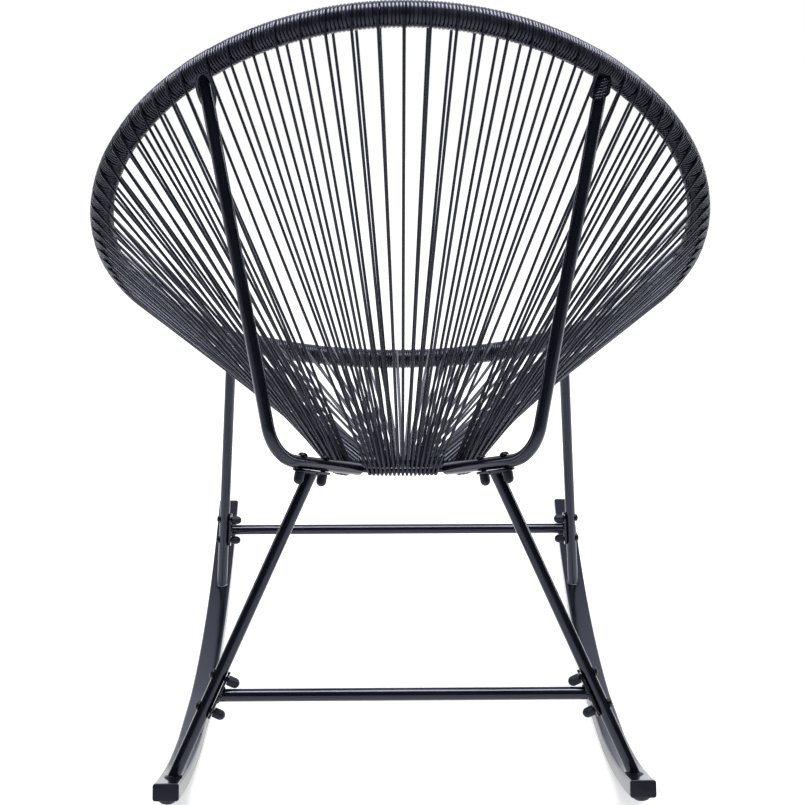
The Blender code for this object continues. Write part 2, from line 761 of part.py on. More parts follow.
half_ring = ring_length(math.pi)
side_from = ring_length(RING_ARM_ANGLE) + ARM_CLEARANCE
side_to = half_ring - (FRONT_LOOPS + 1) / 2 * RING_PITCH
side_stations = ring_stations((side_from + side_to) / 2, SIDE_LOOPS)
other_stations = [FULL - angle for angle in reversed(side_stations)]
side_rooms = [shoulders["left"], shoulders["right"]]
sections = (
    ("back", -before_shoulder, before_shoulder, -before_tube, before_tube,
     ring_stations(0, BACK_LOOPS), side_rooms),
    ("left", by_shoulder, before_saddle, after_tube, to_saddle, side_stations, side_rooms[:1]),
    ("front", after_saddle, FULL - after_saddle, from_saddle, FULL - from_saddle,
     ring_stations(half_ring, FRONT_LOOPS), []),
    ("right", FULL - before_saddle, FULL - by_shoulder, FULL - to_saddle, FULL - after_tube,
     other_stations, side_rooms[1:]),
)
for name, start, end, first, last, stations, rooms in sections:
    crossings = evenly(hoop_point, first, last, len(stations) + 1)
    winding(name, start, end, crossings, rooms)
    spokes(name, crossings, stations)

stand = bpy.data.objects.new("chair_stand", None)
chair.objects.link(stand)
for piece in chair.objects:
    if piece is not stand:
        piece.parent = stand
    if piece.type == "MESH":
        piece.data.shade_smooth()
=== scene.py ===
# %% [markdown]
# # A string rocking chair
# The chair is a black steel frame with a hoop for its rim. Black plastic string is wound round the hoop
# and runs from it to a small ring under the seat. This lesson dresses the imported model: it loads the frame,
# makes the finishes, rebuilds the tubes with round sections and welds, and then lays every turn of string.

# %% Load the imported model
import math
import random

import bmesh
import bpy
import numpy as np
from mathutils import Matrix, Vector


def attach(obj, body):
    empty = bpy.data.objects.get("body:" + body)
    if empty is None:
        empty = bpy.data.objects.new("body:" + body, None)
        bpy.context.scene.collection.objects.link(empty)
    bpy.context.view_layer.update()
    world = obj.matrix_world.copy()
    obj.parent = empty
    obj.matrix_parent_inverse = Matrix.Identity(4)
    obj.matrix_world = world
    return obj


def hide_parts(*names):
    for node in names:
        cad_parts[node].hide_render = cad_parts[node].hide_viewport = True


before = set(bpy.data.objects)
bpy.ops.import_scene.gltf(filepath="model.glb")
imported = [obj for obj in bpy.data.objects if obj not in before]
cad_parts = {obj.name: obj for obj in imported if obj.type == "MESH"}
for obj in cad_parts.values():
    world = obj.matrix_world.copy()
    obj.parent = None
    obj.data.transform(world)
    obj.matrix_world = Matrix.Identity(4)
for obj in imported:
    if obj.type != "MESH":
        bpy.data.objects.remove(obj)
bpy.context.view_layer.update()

# %% [markdown]
# ## Finishes
# Every colour below is an sRGB hex value, as a paint card gives it. Blender's sockets take linear light,
# so one function converts them. A second function adds a node with its settings and its links. Small ones
# built on it stand for the nodes that every finish uses, so each finish reads as a recipe.


# %% Colours and nodes
def linear(code):
    channels = [int(code[place:place + 2], 16) / 255 for place in (1, 3, 5)]
    light = [c / 12.92 if c <= 0.04045 else ((c + 0.055) / 1.055) ** 2.4 for c in channels]
    return (*light, 1)


def add_node(tree, kind, settings=None, links=None):
    node = tree.nodes.new(kind)
    for key, value in (settings or {}).items():
        if isinstance(key, int) or key in node.inputs:
            node.inputs[key].default_value = value
        else:
            setattr(node, key, value)
    for key, socket in (links or {}).items():
        tree.links.new(socket, node.inputs[key])
    return node


def blank(name):
    material = bpy.data.materials.new(name)
    material.use_nodes = True
    material.node_tree.nodes.clear()
    return material, material.node_tree


def grains(tree, size, detail):
    """Noise in the object's own space, with grains about this many millimetres across."""
    place = add_node(tree, "ShaderNodeTexCoord").outputs["Object"]
    noise = add_node(tree, "ShaderNodeTexNoise", {"Scale": 1000 / size, "Detail": detail}, {"Vector": place})
    return noise.outputs["Fac"]


def remap(tree, value, low, high, first, last, curve="LINEAR"):
    """A number that goes from first to last while a value goes from low to high."""
    limits = {"From Min": low, "From Max": high, "To Min": first, "To Max": last}
    node = add_node(tree, "ShaderNodeMapRange", {**limits, "interpolation_type": curve}, {"Value": value})
    return node.outputs["Result"]


def blend(tree, share, first, second):
    """A colour between two hex values."""
    colours = {"data_type": "RGBA", 6: linear(first), 7: linear(second)}
    return add_node(tree, "ShaderNodeMix", colours, {0: share}).outputs[2]


def bump(tree, height, strength, depth):
    node = add_node(tree, "ShaderNodeBump", {"Strength": strength, "Distance": depth}, {"Height": height})
    return node.outputs["Normal"]


def maths(tree, operation, *values):
    return add_node(tree, "ShaderNodeMath", {"operation": operation}, dict(enumerate(values))).outputs[0]


def surface(tree, settings, links):
    """Ends a finish: one Principled shader and the material's output."""
    shader = add_node(tree, "ShaderNodeBsdfPrincipled", settings, links)
    add_node(tree, "ShaderNodeOutputMaterial", {}, {"Surface": shader.outputs["BSDF"]})


SHEEN = linear("#DEE4FF")
print("highlights are tinted", [round(part, 2) for part in SHEEN[:3]])

# %% [markdown]
# ### Powder-coated steel
# The frame is mild steel with a baked polyester powder coat. The powder melts into a smooth semi-gloss skin
# with a faint orange peel, so highlights are clear but their edges waver. Its ripples are near 1.5 mm
# apart on the real coat. They are drawn 4 mm apart here, because finer ones don't show in the render. The
# coat's black leans to blue.

# %% Powder coat
powder_coat, tree = blank("powder_coated_steel")
cloud = grains(tree, 60, 3.0)
surface(tree, {"IOR": 1.58, "Specular Tint": SHEEN}, {
    "Base Color": blend(tree, cloud, "#0D0F15", "#161820"),
    "Roughness": remap(tree, cloud, 0.3, 0.7, 0.12, 0.2),
    "Normal": bump(tree, grains(tree, 4, 2.0), 0.12, 0.0003),
})
print("finish:", powder_coat.name)

# %% [markdown]
# ### Extruded string
# The string is soft PVC drawn through a round die, about 3.3 mm thick. That gives a satin skin, a little
# brighter where it was stretched, so no two lengths shine alike. An attribute called length_tone holds one
# number for each length of string, and moves its colour and gloss a little.

# %% String
string_pvc, tree = blank("extruded_pvc_string")
tone = add_node(tree, "ShaderNodeAttribute", {"attribute_name": "length_tone"}).outputs["Fac"]
surface(tree, {"IOR": 1.53, "Specular Tint": SHEEN}, {
    "Base Color": blend(tree, tone, "#121319", "#2C2D36"),
    "Roughness": remap(tree, tone, 0.0, 1.0, 0.27, 0.16),
    "Normal": bump(tree, grains(tree, 3, 2.0), 0.15, 0.0002),
})
print("finish:", string_pvc.name)

# %% [markdown]
# ### Moulded polypropylene
# Plugs, glides and nut caps are injection moulded. Their mould was spark-eroded, which leaves a fine matt
# grain of about 0.5 mm. It is drawn at 1.2 mm so that it shows at all.

# %% Moulded plastic
moulded_pp, tree = blank("moulded_polypropylene")
grain = grains(tree, 1.2, 3.0)
surface(tree, {"IOR": 1.49, "Specular Tint": SHEEN}, {
    "Base Color": blend(tree, grain, "#121218", "#1C1B25"),
    "Roughness": remap(tree, grain, 0.3, 0.7, 0.42, 0.58),
    "Normal": bump(tree, grain, 0.25, 0.0002),
})
print("finish:", moulded_pp.name)

# %% [markdown]
# ### Black-oxide steel
# The bolts are steel blackened in a hot salt bath. The oxide is thin, so the metal still glints through it,
# and it darkens in soft patches a few millimetres wide.

# %% Bolt steel
black_oxide, tree = blank("black_oxide_steel")
patch = grains(tree, 5, 4.0)
surface(tree, {"Metallic": 1.0}, {
    "Base Color": blend(tree, patch, "#1C1C1E", "#38383B"),
    "Roughness": remap(tree, patch, 0.3, 0.7, 0.34, 0.48),
})
print("finish:", black_oxide.name)

# %% [markdown]
# ## The chair's lines
# The pieces follow a few lines: the hoop, the ring under the seat and the arc of the runners. The sizes are
# those of the part's source, in metres, because this file can't read it. Only the ring is wider and shorter
# than there, as the photograph has it. With the lines as functions, each piece can be put in its place.

# %% Hoop, ring and runner lines
GAP = 0.0003
TUBE = 0.015
HOOP_TUBE = 0.022
RING_ROD = 0.008
STRING = 0.0033
SPOKE_RADIUS = 0.00176
HOOP_WIDTH, HOOP_LENGTH, HOOP_SLOPE = 0.750, 0.7935, math.radians(38.5)
HOOP_SQUARENESS, HOOP_DIP, HOOP_DIP_TO_BACK = 0.10, 0.044, 0.6
HOOP_BACK_Y, HOOP_BACK_Z = 0.330, 0.917
RING_WIDTH, RING_LENGTH, RING_TILT = 0.160, 0.0862, math.radians(8.5)
RING_CENTRE = Vector((0, 0.198, 0.3835))
RUNNER_WIDTH, RUNNER_HEIGHT, RUNNER_CORNER = 0.030, 0.020, 0.003
RUNNER_RADIUS, RUNNER_SPACING, PLUG_FLANGE = 0.930, 0.545, 0.003
REAR_SWEEP, FRONT_SWEEP, LAND_SWEEP = math.radians(18.25), math.radians(33.25), math.radians(4)
RUNNER_OUTER = RUNNER_RADIUS + RUNNER_HEIGHT / 2
RUNNER_INNER = RUNNER_RADIUS - RUNNER_HEIGHT / 2
SIDES = ((1, "left"), (-1, "right"))
STEP = 1e-4


def reach(sweep):
    """How far a runner's end lies from its lowest place, with the plug's flange."""
    return RUNNER_OUTER * math.sin(sweep) + PLUG_FLANGE * math.cos(sweep)


RUNNER_CENTRE = Vector((0, (reach(FRONT_SWEEP) - reach(REAR_SWEEP)) / 2, RUNNER_OUTER * math.cos(LAND_SWEEP)))


def hoop_point(angle):
    """The hoop's centre line: 0 is the middle of the back, and angles grow to the chair's left."""
    run = HOOP_LENGTH / 2 * (1 - math.cos(angle))
    dip = HOOP_DIP * math.sin(angle) ** 2 * (1 + HOOP_DIP_TO_BACK * math.cos(angle))
    side = HOOP_WIDTH / 2 * math.sin(angle) * (1 + HOOP_SQUARENESS * math.cos(angle) ** 2)
    forward = run * math.cos(HOOP_SLOPE) - dip * math.sin(HOOP_SLOPE)
    down = run * math.sin(HOOP_SLOPE) + dip * math.cos(HOOP_SLOPE)
    return Vector((side, HOOP_BACK_Y - forward, HOOP_BACK_Z - down))


def ring_frame(angle):
    """A point of the ring's centre line, with its outward and upward directions."""
    along = Vector((0, math.cos(RING_TILT), math.sin(RING_TILT)))
    up = Vector((0, -math.sin(RING_TILT), math.cos(RING_TILT)))
    across = Vector((1, 0, 0)) * math.sin(angle)
    point = RING_CENTRE + across * RING_WIDTH / 2 + along * math.cos(angle) * RING_LENGTH / 2
    outward = across / RING_WIDTH + along * math.cos(angle) / RING_LENGTH
    return point, outward.normalized(), up


def runner_point(side, sweep, radius):
    """A point in a runner's middle plane; sweeps are positive to the front."""
    return RUNNER_CENTRE + Vector((
        side * RUNNER_SPACING / 2, -radius * math.sin(sweep), -radius * math.cos(sweep),
    ))


hoop_angles = np.linspace(0, 2 * math.pi, 7201)
hoop_steps = np.diff([hoop_point(angle) for angle in hoop_angles], axis=0)
hoop_lengths = np.concatenate([[0.0], np.cumsum(np.linalg.norm(hoop_steps, axis=1))])
HOOP_ROUND = float(hoop_lengths[-1])


def hoop_at(length):
    """The hoop's centre and its direction at a length along it from the middle of the back."""
    angle = float(np.interp(length % HOOP_ROUND, hoop_lengths, hoop_angles))
    return hoop_point(angle), (hoop_point(angle + STEP) - hoop_point(angle - STEP)).normalized()


def hoop_length(angle):
    """The length along the hoop from the middle of the back to an angle."""
    return float(np.interp(angle, hoop_angles, hoop_lengths))


print(f"the hoop is {HOOP_ROUND:.3f} m round")

# %% [markdown]
# ## Helpers for solid pieces
# A tube is made as a tube bender makes it: a circle is pushed straight, then swung round a bend, then pushed
# on. Extruding a loop of edges does the straight lengths and Spin does the bends, so no list of faces is
# worked out by hand. A finished mesh becomes a piece that rides on the chair and hides the plainer CAD nodes.

# %% Tubes and pieces
TUBE_SIDES = 28


def square_to(vector, way):
    """The direction of a vector once its part along way is taken out."""
    return (vector - way * vector.dot(way)).normalized()


def placed(origin, z_axis, x_axis):
    """A frame at origin whose Z is z_axis and whose X lies towards x_axis."""
    z = z_axis.normalized()
    x = square_to(x_axis, z)
    return Matrix.Translation(origin) @ Matrix((x, z.cross(x), z)).transposed().to_4x4()


def corners_of(items):
    return [item for item in items if isinstance(item, bmesh.types.BMVert)]


def added(shape, old):
    """The corners that a bmesh has got since its old ones were noted."""
    return [corner for corner in shape.verts if corner not in old]


def loop_of(items):
    """The edges whose two ends are both among the new corners."""
    new = set(corners_of(items))
    edges = [item for item in items if isinstance(item, bmesh.types.BMEdge)]
    return [edge for edge in edges if edge.verts[0] in new and edge.verts[1] in new]


def circle(shape, place, radius, sides=TUBE_SIDES):
    """The edges of a new circle in the XY plane of a frame."""
    made = bmesh.ops.create_circle(shape, segments=sides, radius=radius, matrix=place)
    return list({edge for corner in made["verts"] for edge in corner.link_edges})


def push(shape, loop, vector):
    """Extrudes a loop of edges straight and gives the loop at the far end."""
    made = bmesh.ops.extrude_edge_only(shape, edges=loop)["geom"]
    bmesh.ops.translate(shape, vec=vector, verts=corners_of(made))
    return loop_of(made)


def with_ends(loop):
    """A loop of edges after the corners that it joins."""
    return list({corner for edge in loop for corner in edge.verts}) + loop


def swing(shape, loop, centre, axis, angle, steps):
    """Spins a loop of edges round a bend and gives the loop at the far end."""
    made = bmesh.ops.spin(shape, geom=with_ends(loop), cent=centre, axis=axis, angle=angle, steps=steps)
    return loop_of(made["geom_last"])


def spin_round(shape, geom, centre, axis, steps):
    """Spins an outline all the way round and closes it on itself."""
    bmesh.ops.spin(
        shape, geom=geom, cent=centre, axis=axis, angle=2 * math.pi, steps=steps, use_merge=True,
    )


def rounded(shape, geom, offset, segments, affect="EDGES"):
    """Rounds edges, or corners, by an offset in a few segments."""
    bmesh.ops.bevel(
        shape, geom=geom, offset=offset, segments=segments, profile=0.5, affect=affect, material=-1,
    )


def to_mesh(shape, name):
    """Ends a bmesh and gives its mesh."""
    mesh = bpy.data.meshes.new(name)
    shape.to_mesh(mesh)
    shape.free()
    return mesh


def to_piece(shape, name, finish, nodes):
    """A bmesh as a piece that rides on the chair and stands for CAD nodes."""
    bmesh.ops.recalc_face_normals(shape, faces=shape.faces)
    return mesh_to_piece(to_mesh(shape, name), name, finish, nodes)


def mesh_to_piece(mesh, name, finish, nodes, sharp=35):
    """A mesh as such a piece; edges that turn by more than sharp degrees stay sharp."""
    mesh.materials.clear()
    mesh.materials.append(finish)
    mesh.shade_smooth()
    mesh.set_sharp_from_angle(angle=math.radians(sharp))
    piece = bpy.data.objects.new(name, mesh)
    bpy.context.scene.collection.objects.link(piece)
    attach(piece, "root")
    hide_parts(*nodes)
    return piece


def swept(name, lines, radius, resolution, closed):
    """A mesh of round bars along lines of points, from one curve with a round section."""
    curve = bpy.data.curves.new(name, "CURVE")
    curve.dimensions = "3D"
    curve.bevel_depth = radius
    curve.bevel_resolution = resolution
    curve.use_fill_caps = True
    for line in lines:
        spline = curve.splines.new("POLY")
        spline.points.add(len(line) - 1)
        spline.use_cyclic_u = closed
        spline.points.foreach_set("co", [value for point in line for value in (*point, 1)])
    holder = bpy.data.objects.new(name, curve)
    mesh = bpy.data.meshes.new_from_object(holder)
    bpy.data.objects.remove(holder)
    bpy.data.curves.remove(curve)
    return mesh


print("tubes have", TUBE_SIDES, "sides")

# %% [markdown]
# A weld shows as a rounded bead where a tube meets a plate or a runner. Spin makes it as a ring round the
# tube, with a ripple at each pass of the torch. A shear along the tube then lays the ring in the slanted
# plane of the joint.

# %% Welds
BEAD, BEAD_SIDES = 0.0021, 8
RIPPLES, RIPPLE_DEPTH = 22, 0.12


def weld(shape, point, axis, normal, radius):
    """A bead round a tube where it meets a plane with this normal."""
    old = set(shape.verts)
    about = placed(point, axis, axis.orthogonal())
    start = about @ Matrix.Translation((radius, 0, 0)) @ Matrix.Rotation(math.pi / 2, 4, "X")
    spin_round(shape, with_ends(circle(shape, start, BEAD, BEAD_SIDES)), point, axis, 3 * RIPPLES)
    bead = added(shape, old)
    into = about.inverted()
    for corner in bead:
        local = into @ corner.co
        turn = math.atan2(local.y, local.x)
        middle = about @ Vector((radius * math.cos(turn), radius * math.sin(turn), 0))
        corner.co = middle + (corner.co - middle) * (1 + RIPPLE_DEPTH * math.sin(RIPPLES * turn))
    slant = normal - axis * normal.dot(axis)
    lean = Matrix.Identity(3)
    for row in range(3):
        for column in range(3):
            lean[row][column] -= axis[row] * slant[column] / normal.dot(axis)
    lay = Matrix.Translation(point) @ lean.to_4x4() @ Matrix.Translation(-point)
    bmesh.ops.transform(shape, matrix=lay, verts=bead)


print("a weld bead is", BEAD * 2000, "mm across")

# %% [markdown]
# ## Runners, plugs and glides
# Each runner is a bent length of 30 x 20 mm tube with rounded corners. Four corners are joined into a
# rectangle, bevelled round, and spun along the arc: a rear stretch, the short flat land that the chair
# stands on, and a long front stretch that rises.


# %% Runners
def runner(side):
    shape = bmesh.new()
    half, high = RUNNER_WIDTH / 2, RUNNER_HEIGHT / 2
    corners = []
    for across, upwards in ((half, -high), (half, high), (-half, high), (-half, -high)):
        place = runner_point(side, -REAR_SWEEP, RUNNER_RADIUS - upwards) + Vector((across, 0, 0))
        corners.append(shape.verts.new(place))
    for first, second in zip(corners, corners[1:] + corners[:1]):
        shape.edges.new((first, second))
    rounded(shape, corners, RUNNER_CORNER, 4, "VERTICES")
    first = list(shape.edges)
    last = first
    for sweep, steps in ((REAR_SWEEP - LAND_SWEEP, 18), (2 * LAND_SWEEP, 1), (FRONT_SWEEP - LAND_SWEEP, 36)):
        last = swing(shape, last, RUNNER_CENTRE, (1, 0, 0), -sweep, steps)
    bmesh.ops.edgeloop_fill(shape, edges=first)
    bmesh.ops.edgeloop_fill(shape, edges=last)
    return shape


for side, label in SIDES:
    piece = to_piece(runner(side), "bent_runner_" + label, powder_coat, ["runner_" + label])
    print(piece.name, len(piece.data.polygons), "faces")

# %% [markdown]
# A plug closes each end: a flange with the tube's outline, its outer edge rounded by the mould. A cube is
# scaled to the flange, its four corners are bevelled to the tube's radius and its outer rim once more.

# %% Plugs
PLUG_ROUND = 0.0012


def plug(side, sweep, front):
    end = runner_point(side, sweep, RUNNER_RADIUS)
    outward = front * (runner_point(side, sweep + STEP, 1) - runner_point(side, sweep - STEP, 1)).normalized()
    shape = bmesh.new()
    bmesh.ops.create_cube(shape, size=1)
    thick = PLUG_FLANGE - GAP
    bmesh.ops.scale(shape, vec=(RUNNER_WIDTH, RUNNER_HEIGHT, thick), verts=shape.verts)
    upright = [edge for edge in shape.edges if abs(edge.verts[0].co.z - edge.verts[1].co.z) > thick / 2]
    rounded(shape, upright, RUNNER_CORNER, 4)
    rim = [edge for edge in shape.edges if min(corner.co.z for corner in edge.verts) > thick / 2 - 1e-6]
    rounded(shape, rim, PLUG_ROUND, 3)
    lay = placed(end, outward, Vector((1, 0, 0))) @ Matrix.Translation((0, 0, GAP + thick / 2))
    bmesh.ops.transform(shape, matrix=lay, verts=shape.verts)
    return shape


for side, label in SIDES:
    for end, sweep, front in (("rear", -REAR_SWEEP, -1), ("front", FRONT_SWEEP, 1)):
        to_piece(
            plug(side, sweep, front), f"end_plug_{end}_{label}", moulded_pp,
            [f"plug_{end}_{label}"],
        )
print("plugs: 4")

# %% [markdown]
# A glide under each rear end is a turned dome on a short stem, so its half outline is spun round.

# %% Glides
GLIDE_FROM_END, GLIDE, GLIDE_DROP = 0.013, 0.010, 0.0055
STEM, STEM_LENGTH = 0.0025, 0.006


def turned(outline, steps):
    """A closed mesh spun from a half outline of X and Z that starts and ends on the axis."""
    shape = bmesh.new()
    corners = [shape.verts.new((x, 0, z)) for x, z in outline]
    edges = [shape.edges.new(pair) for pair in zip(corners, corners[1:])]
    spin_round(shape, corners + edges, (0, 0, 0), (0, 0, 1), steps)
    bmesh.ops.remove_doubles(shape, verts=shape.verts, dist=1e-6)
    return shape


for side, label in SIDES:
    sweep = -REAR_SWEEP + GLIDE_FROM_END / RUNNER_OUTER
    under = runner_point(side, sweep, RUNNER_OUTER + GAP)
    upward = (runner_point(side, sweep, RUNNER_INNER) - under).normalized()
    dome = [(GLIDE * math.sin(t), -GLIDE_DROP * math.cos(t)) for t in np.linspace(0, math.pi / 2, 7)]
    shape = turned(dome + [(GLIDE, 0.0), (STEM, 0.0), (STEM, STEM_LENGTH), (0.0, STEM_LENGTH)], 32)
    bmesh.ops.transform(shape, matrix=placed(under, upward, Vector((1, 0, 0))), verts=shape.verts)
    to_piece(shape, "domed_glide_" + label, moulded_pp, ["glide_" + label])
print("glides: 2")

# %% [markdown]
# ## Back tubes
# Each back tube leaves the hoop's shoulder, runs down, turns through a bend and goes in to the ring. The
# circle is pushed to the start of the bend, swung round it, and pushed on to the ring, where its end is
# closed and rounded.

# %% Back tubes
SHOULDER = math.radians(33.5)
BEND_CORNER, BEND_RADIUS, BEND_STEPS = Vector((0.147, 0.343, 0.431)), 0.050, 20
RING_ARM = math.radians(40.6)
END_ROUND = 0.002


def bend_corner(side):
    return Vector((side * BEND_CORNER.x, BEND_CORNER.y, BEND_CORNER.z))


def tube_top(side):
    """Where a back tube starts, on the hoop's shoulder, and its way down from there."""
    start = hoop_point(side * SHOULDER)
    return start, (bend_corner(side) - start).normalized()


def back_tube(side):
    start, down = tube_top(side)
    corner = bend_corner(side)
    end = ring_frame(side * RING_ARM)[0]
    back = -down
    ahead = (end - corner).normalized()
    half_turn = (math.pi - back.angle(ahead)) / 2
    middle = corner + (back + ahead).normalized() * BEND_RADIUS / math.cos(half_turn)
    set_back = BEND_RADIUS * math.tan(half_turn)
    shape = bmesh.new()
    loop = circle(shape, placed(start, down, Vector((1, 0, 0))), TUBE / 2)
    bmesh.ops.edgeloop_fill(shape, edges=loop)
    loop = push(shape, loop, corner + back * set_back - start)
    loop = swing(shape, loop, middle, back.cross(ahead).normalized(), -2 * half_turn, BEND_STEPS)
    loop = push(shape, loop, end - corner - ahead * set_back)
    bmesh.ops.edgeloop_fill(shape, edges=loop)
    rounded(shape, loop, END_ROUND, 3)
    return shape


for side, label in SIDES:
    piece = to_piece(
        back_tube(side), "bent_back_tube_" + label, powder_coat, ["back_tube_" + label],
    )
    print(piece.name, len(piece.data.polygons), "faces")

# %% [markdown]
# ## Hoop and ring
# The hoop and the ring are rods bent into ovals, which no single spin can follow. A closed curve with a round
# section sweeps each of them. Most of both is hidden under the string.

# %% Hoop and ring
HOOP_STEPS, RING_STEPS = 240, 96
hoop_line = [hoop_at(HOOP_ROUND * step / HOOP_STEPS)[0] for step in range(HOOP_STEPS)]
ring_line = [ring_frame(2 * math.pi * step / RING_STEPS)[0] for step in range(RING_STEPS)]
mesh_to_piece(
    swept("hoop_sweep", [hoop_line], HOOP_TUBE / 2, 10, True), "bent_hoop", powder_coat,
    ["hoop_tube"],
)
mesh_to_piece(
    swept("ring_sweep", [ring_line], RING_ROD / 2, 6, True), "bent_ring", powder_coat,
    ["seat_ring"],
)
print("hoop and ring swept")

# %% [markdown]
# ## Legs and crossbars
# A leg is a straight tube, cut flat on the runner and welded to it. Its top is welded to a saddle, a flat
# plate with round ends that is bolted under the seat frame. Crossbars end in plates of the same kind. A plate
# is a cube whose four upright edges are bevelled by half its width, and whose rims are then softened.

# %% Plates and legs
REAR_FOOT, FRONT_FOOT, FOOT_INSET = math.radians(15.6), math.radians(21.8), 0.003
FRONT_LEG, SADDLE_FROM_BEND = math.radians(142.7), 0.068
PLATE_THICK, PLATE_WIDTH, PLATE_SOFT = 0.003, 0.018, 0.0005
PLATE_ROUND = PLATE_WIDTH / 2 * 0.998
SADDLE_LENGTH, SADDLE_BOLTS = 0.058, 0.040
DOWN = Vector((0, 0, -1))


def plate(shape, length, origin, normal, along):
    """A plate with round ends; the rounding is a hair less than half the width, so a straight edge stays."""
    old = set(shape.verts)
    made = bmesh.ops.create_cube(shape, size=1)["verts"]
    bmesh.ops.scale(shape, vec=(length, PLATE_WIDTH, PLATE_THICK), verts=made)
    edges = {edge for corner in made for edge in corner.link_edges}
    upright = [edge for edge in edges if abs(edge.verts[0].co.z - edge.verts[1].co.z) > PLATE_THICK / 2]
    rounded(shape, upright, PLATE_ROUND, 8)
    edges = {edge for corner in added(shape, old) for edge in corner.link_edges}
    level = [edge for edge in edges if abs(edge.verts[0].co.z - edge.verts[1].co.z) < 1e-7]
    rims = [edge for edge in level if edge.calc_face_angle(0) > 1]
    rounded(shape, rims, PLATE_SOFT, 2)
    bmesh.ops.transform(shape, matrix=placed(origin, normal, along), verts=added(shape, old))


def cut_flat(shape, point, cut):
    """Cuts a tube off at a plane and closes it there."""
    everything = shape.verts[:] + shape.edges[:] + shape.faces[:]
    bmesh.ops.bisect_plane(shape, geom=everything, plane_co=point, plane_no=cut, clear_outer=True)
    open_edges = [edge for edge in shape.edges if edge.is_boundary]
    rim = [edge for edge in open_edges if abs((edge.verts[0].co - point).dot(cut)) < 1e-5]
    bmesh.ops.edgeloop_fill(shape, edges=rim)


def leg(side, foot_sweep, top, normal, along_plate):
    """A leg from its runner to its saddle's middle, with the point of its foot and its way up."""
    foot = runner_point(side, foot_sweep, RUNNER_INNER - GAP)
    floorward = (runner_point(side, foot_sweep, RUNNER_OUTER) - foot).normalized()
    foot.x -= side * FOOT_INSET
    along = (top - foot).normalized()
    shape = bmesh.new()
    loop = circle(shape, placed(foot - along * TUBE, along, Vector((1, 0, 0))), TUBE / 2)
    push(shape, loop, top - foot + 2 * along * TUBE)
    cut_flat(shape, foot, floorward)
    cut_flat(shape, top, -normal)
    weld(shape, foot, along, floorward, TUBE / 2)
    under = top + normal * PLATE_THICK / 2
    weld(shape, top - along * ((top - under).dot(normal) / along.dot(normal)), along, normal, TUBE / 2)
    plate(shape, SADDLE_LENGTH, top, normal, along_plate)
    return shape, foot, along


legs = {}
bolts = []
for side, label in SIDES:
    arm = (ring_frame(side * RING_ARM)[0] - bend_corner(side)).normalized()
    seat = bend_corner(side) + arm * SADDLE_FROM_BEND
    down = square_to(DOWN, arm)
    top = seat + down * (TUBE / 2 + GAP + PLATE_THICK / 2)
    shape, foot, along = leg(side, -REAR_FOOT, top, down, arm)
    to_piece(shape, "welded_rear_leg_" + label, powder_coat, ["rear_leg_" + label])
    legs["rear", side] = (foot, along)
    for offset, end in ((-SADDLE_BOLTS / 2, "outer"), (SADDLE_BOLTS / 2, "inner")):
        bolts.append((f"rear_saddle_{label}_{end}", seat + arm * offset, down, arm, TUBE))

    rim, rim_way = hoop_at(hoop_length(FRONT_LEG) if side > 0 else -hoop_length(FRONT_LEG))
    rim_way = rim_way * side
    down = square_to(DOWN, rim_way)
    top = rim + down * (HOOP_TUBE / 2 + GAP + PLATE_THICK / 2)
    shape, foot, along = leg(side, FRONT_FOOT, top, down, rim_way)
    to_piece(shape, "welded_front_leg_" + label, powder_coat, ["front_leg_" + label])
    legs["front", side] = (foot, along)
    for offset, end in ((-SADDLE_BOLTS / 2, "rear"), (SADDLE_BOLTS / 2, "front")):
        bolts.append((f"front_saddle_{label}_{end}", rim + rim_way * offset, down, rim_way, HOOP_TUBE))
print("legs:", len(legs), "saddle bolts:", len(bolts))

# %% [markdown]
# A crossbar is a tube between two plates. Each plate lies flat against the inner side of a leg.

# %% Crossbars
# Height of the tube, length of the plates and distance of their bolts
CROSSBARS = {"rear": (0.150, 0.060, 0.041), "front": (0.172, 0.051, 0.032)}


def crossbar(name, height, plate_length, bolt_pitch):
    ends = []
    for side, label in SIDES:
        foot, along = legs[name, side]
        axis_point = foot + along * ((height - foot.z) / along.z)
        inward = square_to(Vector((-side, 0, 0)), along)
        ends.append((axis_point + inward * (TUBE / 2 + GAP + PLATE_THICK / 2), inward, along))
        for offset, place in ((bolt_pitch / 2, "upper"), (-bolt_pitch / 2, "lower")):
            bolts.append((f"{name}_bar_{label}_{place}", axis_point + along * offset, inward, along, TUBE))
    shape = bmesh.new()
    left, right = ends[0][0], ends[1][0]
    way = (right - left).normalized()
    start = placed(left - way * TUBE, way, Vector((0, 0, 1)))
    push(shape, circle(shape, start, TUBE / 2), right - left + 2 * way * TUBE)
    for middle, inward, along in ends:
        cut_flat(shape, middle, -inward)
    for middle, inward, along in ends:
        plate(shape, plate_length, middle, inward, along)
        face = middle + inward * PLATE_THICK / 2
        meet = middle + way * ((face - middle).dot(inward) / way.dot(inward))
        weld(shape, meet, way, inward, TUBE / 2)
    return shape


for name, sizes in CROSSBARS.items():
    shape = crossbar(name, *sizes)
    piece = to_piece(shape, f"welded_crossbar_{name}", powder_coat, ["crossbar_" + name])
    print(piece.name, len(piece.data.polygons), "faces")

# %% [markdown]
# ## Fasteners
# A button-head bolt goes through each tube and plate, and a smooth domed cap closes its nut. Both are turned
# shapes. The bolt's drive socket is a ring of the spun head that is pulled out to a hexagon and sunk.

# %% Bolts and cap nuts
HEAD, HEAD_HEIGHT, SHANK, THREAD = 0.00575, 0.0035, 0.003, 0.0075
SOCKET, SOCKET_DEPTH, SOCKET_FLATS = 0.0019, 0.0018, 0.95
FLAT_TOP = math.asin(0.4)
CAP, CAP_HEIGHT, CAP_BORE, CAP_CHAMFER = 0.006, 0.0145, 0.009, 0.0008


